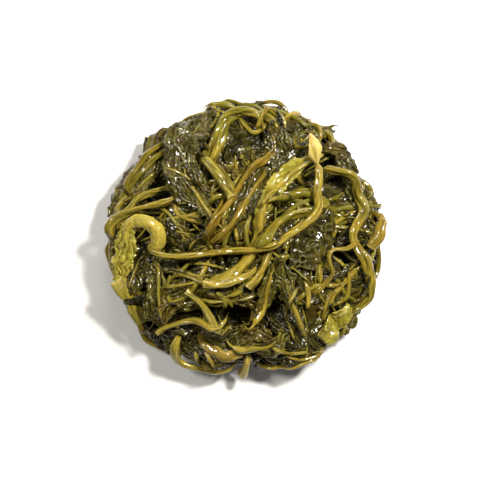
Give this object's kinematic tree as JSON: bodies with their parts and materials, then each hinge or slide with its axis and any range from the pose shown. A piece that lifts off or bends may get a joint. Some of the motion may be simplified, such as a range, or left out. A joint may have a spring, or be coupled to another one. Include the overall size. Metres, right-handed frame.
{
  "type": "bunch of cooked broccoli rabe",
  "caption": "Loose mound of cooked, wilted broccoli rabe: limp stalks and folded dark leaves tangled together, lying free on a flat surface.",
  "frame": {"origin": "on the surface that the mound lies on, under the middle of its box", "axes": "+Z up and the mound's shortest extent; +X to the right and +Y up in the view from above"},
  "size_m": [0.1436, 0.1384, 0.0474],
  "materials": {
    "leaf_dark": "wet dark olive leaf",
    "leaf_olive": "wet olive leaf",
    "stalk": "oily olive yellow stalk",
    "stalk_pale": "oily pale stalk"
  },
  "bodies": {
    "root": {"inner_bundle_heart": "leaf_dark", "inner_bundle_front_left": "leaf_dark", "inner_bundle_front_right": "leaf_dark", "inner_bundle_back": "leaf_dark", "inner_bundle_upper_left": "leaf_dark", "inner_bundle_upper_right": "leaf_dark", "inner_bundle_upper_middle": "leaf_dark", "side_leaf_right": "leaf_dark", "side_leaf_back": "leaf_dark", "side_leaf_left": "leaf_dark", "side_leaf_front": "leaf_dark", "side_stalk_right": "stalk", "side_stalk_left": "stalk", "side_stalk_front": "stalk", "leaf_top_right": "leaf_dark", "leaf_right_rim": "leaf_dark", "leaf_left": "leaf_dark", "leaf_left_centre": "leaf_dark", "leaf_centre": "leaf_dark", "leaf_lower_centre": "leaf_dark", "leaf_lower_right": "leaf_dark", "leaf_right": "leaf_dark", "leaf_bottom_right": "leaf_olive", "stalk_right_rim_cut": "stalk", "leaf_left_rim": "leaf_olive", "stalk_left_flat": "leaf_olive", "stalk_bottom_left": "stalk", "stalk_bottom_cut": "stalk_pale", "stalk_rim_upper": "stalk", "stalk_rim_outer": "stalk", "stalk_left_upper": "stalk", "stalk_left_lower": "stalk", "leaf_bottom_long": "leaf_dark", "leaf_bottom_short": "leaf_olive", "leaf_left_crinkled": "leaf_olive", "leaf_blistered": "leaf_dark", "leaf_small_right": "leaf_dark", "stalk_top_outer": "stalk", "stalk_top_inner": "stalk", "stalk_top_loop": "stalk", "leaf_top_left": "leaf_dark", "leaf_small_top": "leaf_olive", "leaf_right_leafy_stalk": "stalk", "stalk_lower_cut": "stalk_pale", "stalk_orange_cut": "stalk", "leaf_winged_stalk": "leaf_olive", "leaf_lower_middle": "leaf_olive", "stalk_lower_left": "stalk", "stalk_bottom_inner": "stalk", "stalk_curly": "stalk", "stalk_tail": "stalk", "leaf_long_arch": "leaf_dark", "stalk_brown": "stalk", "stalk_pale_cut": "stalk_pale", "leaf_winged_arch": "stalk", "stalk_turned_back": "stalk", "leaf_curled": "leaf_dark", "leaf_pale_tip": "stalk_pale", "stalk_pale_curl": "stalk_pale", "stalk_long_winding": "stalk"}
  },
  "joints": []
}
